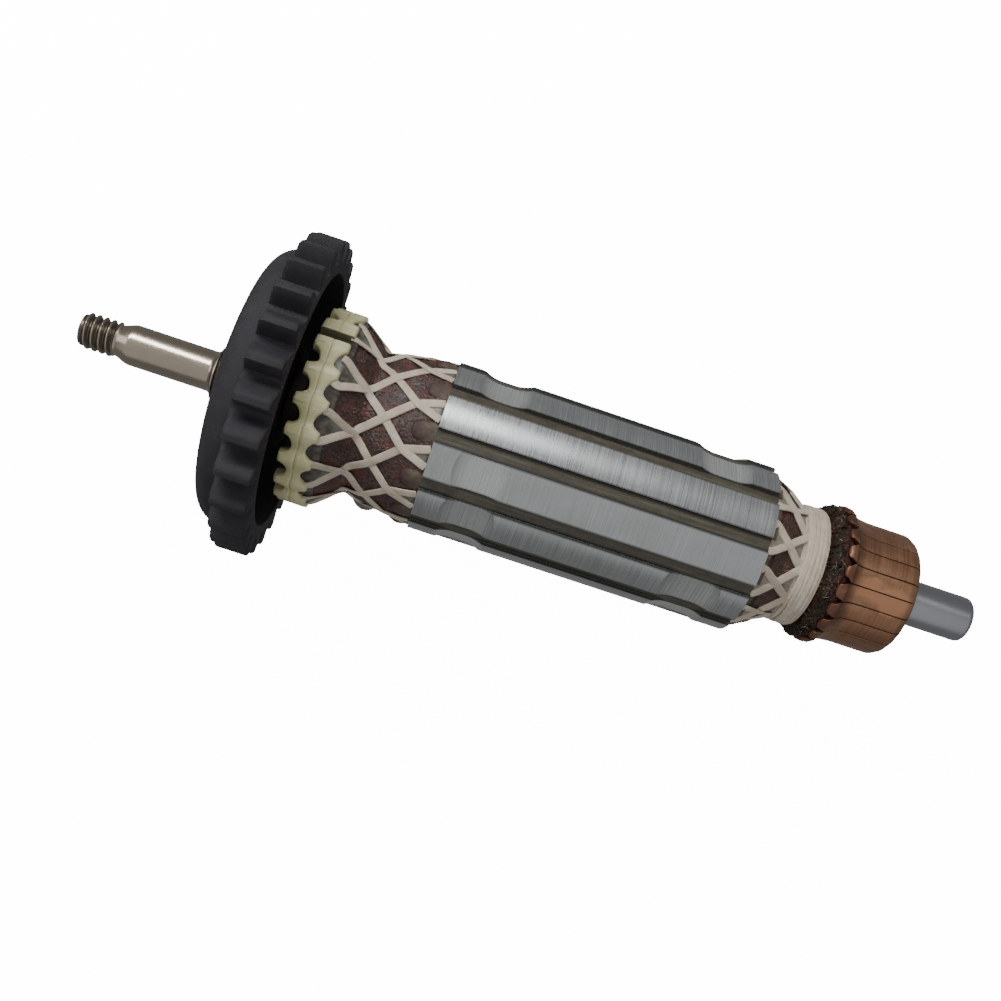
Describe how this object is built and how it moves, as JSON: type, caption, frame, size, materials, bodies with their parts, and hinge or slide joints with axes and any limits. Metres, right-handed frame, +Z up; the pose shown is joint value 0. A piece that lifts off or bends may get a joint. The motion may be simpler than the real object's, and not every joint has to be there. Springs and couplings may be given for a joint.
{
  "type": "motor armature",
  "caption": "Wound rotor of a small commutator motor: laminated core, laced winding, copper commutator, cooling fan and a threaded shaft with two bearing seats.",
  "frame": {"origin": "on the shaft axis at the shoulder that the front bearing stands against", "axes": "+X along the shaft from the threaded end to the commutator end, +Z up, and the view from above shows the side in the picture"},
  "size_m": [0.1596, 0.0556, 0.0556],
  "materials": {
    "shaft_steel": "ground and polished, faintly brown",
    "fan_plastic": "matte black moulding",
    "ring_plastic": "pale yellow cream, slightly waxy",
    "insulating_film": "grey translucent film",
    "core_steel": "ground grey electrical steel, fine turning marks",
    "fibre_board": "olive brown pressed fibre",
    "slot_film": "olive brown film, satin",
    "enamelled_copper": "dark red-brown enamelled wire under varnish",
    "cord": "cream cord, varnished",
    "bar_copper": "tan brown copper with paler worn patches",
    "moulding": "dark brown phenolic moulding",
    "sleeve_plastic": "pale insulating tube",
    "bush_steel": "plain turned steel"
  },
  "bodies": {
    "root": {"commutator_bar_01": "bar_copper", "commutator_bar_02": "bar_copper", "commutator_bar_03": "bar_copper", "commutator_bar_04": "bar_copper", "commutator_bar_05": "bar_copper", "commutator_bar_06": "bar_copper", "commutator_bar_07": "bar_copper", "commutator_bar_08": "bar_copper", "commutator_bar_09": "bar_copper", "commutator_bar_10": "bar_copper", "commutator_bar_11": "bar_copper", "commutator_bar_12": "bar_copper", "commutator_bar_13": "bar_copper", "commutator_bar_14": "bar_copper", "commutator_bar_15": "bar_copper", "commutator_bar_16": "bar_copper", "commutator_bar_17": "bar_copper", "commutator_bar_18": "bar_copper", "commutator_bar_19": "bar_copper", "commutator_bar_20": "bar_copper", "commutator_bar_21": "bar_copper", "commutator_bar_22": "bar_copper", "commutator_body": "moulding", "commutator_bush": "bush_steel", "commutator_leads": "enamelled_copper", "cooling_fan": "fan_plastic", "core_stack": "core_steel", "film_collar": "insulating_film", "front_end_plate": "fibre_board", "front_lacing": "cord", "lacing_ring": "ring_plastic", "rear_end_plate": "fibre_board", "rear_lacing": "cord", "shaft": "shaft_steel", "shaft_sleeve": "sleeve_plastic", "slot_liner_01": "slot_film", "slot_liner_02": "slot_film", "slot_liner_03": "slot_film", "slot_liner_04": "slot_film", "slot_liner_05": "slot_film", "slot_liner_06": "slot_film", "slot_liner_07": "slot_film", "slot_liner_08": "slot_film", "slot_liner_09": "slot_film", "slot_liner_10": "slot_film", "slot_liner_11": "slot_film", "slot_wedge_01": "slot_film", "slot_wedge_02": "slot_film", "slot_wedge_03": "slot_film", "slot_wedge_04": "slot_film", "slot_wedge_05": "slot_film", "slot_wedge_06": "slot_film", "slot_wedge_07": "slot_film", "slot_wedge_08": "slot_film", "slot_wedge_09": "slot_film", "slot_wedge_10": "slot_film", "slot_wedge_11": "slot_film", "winding": "enamelled_copper"}
  },
  "joints": []
}
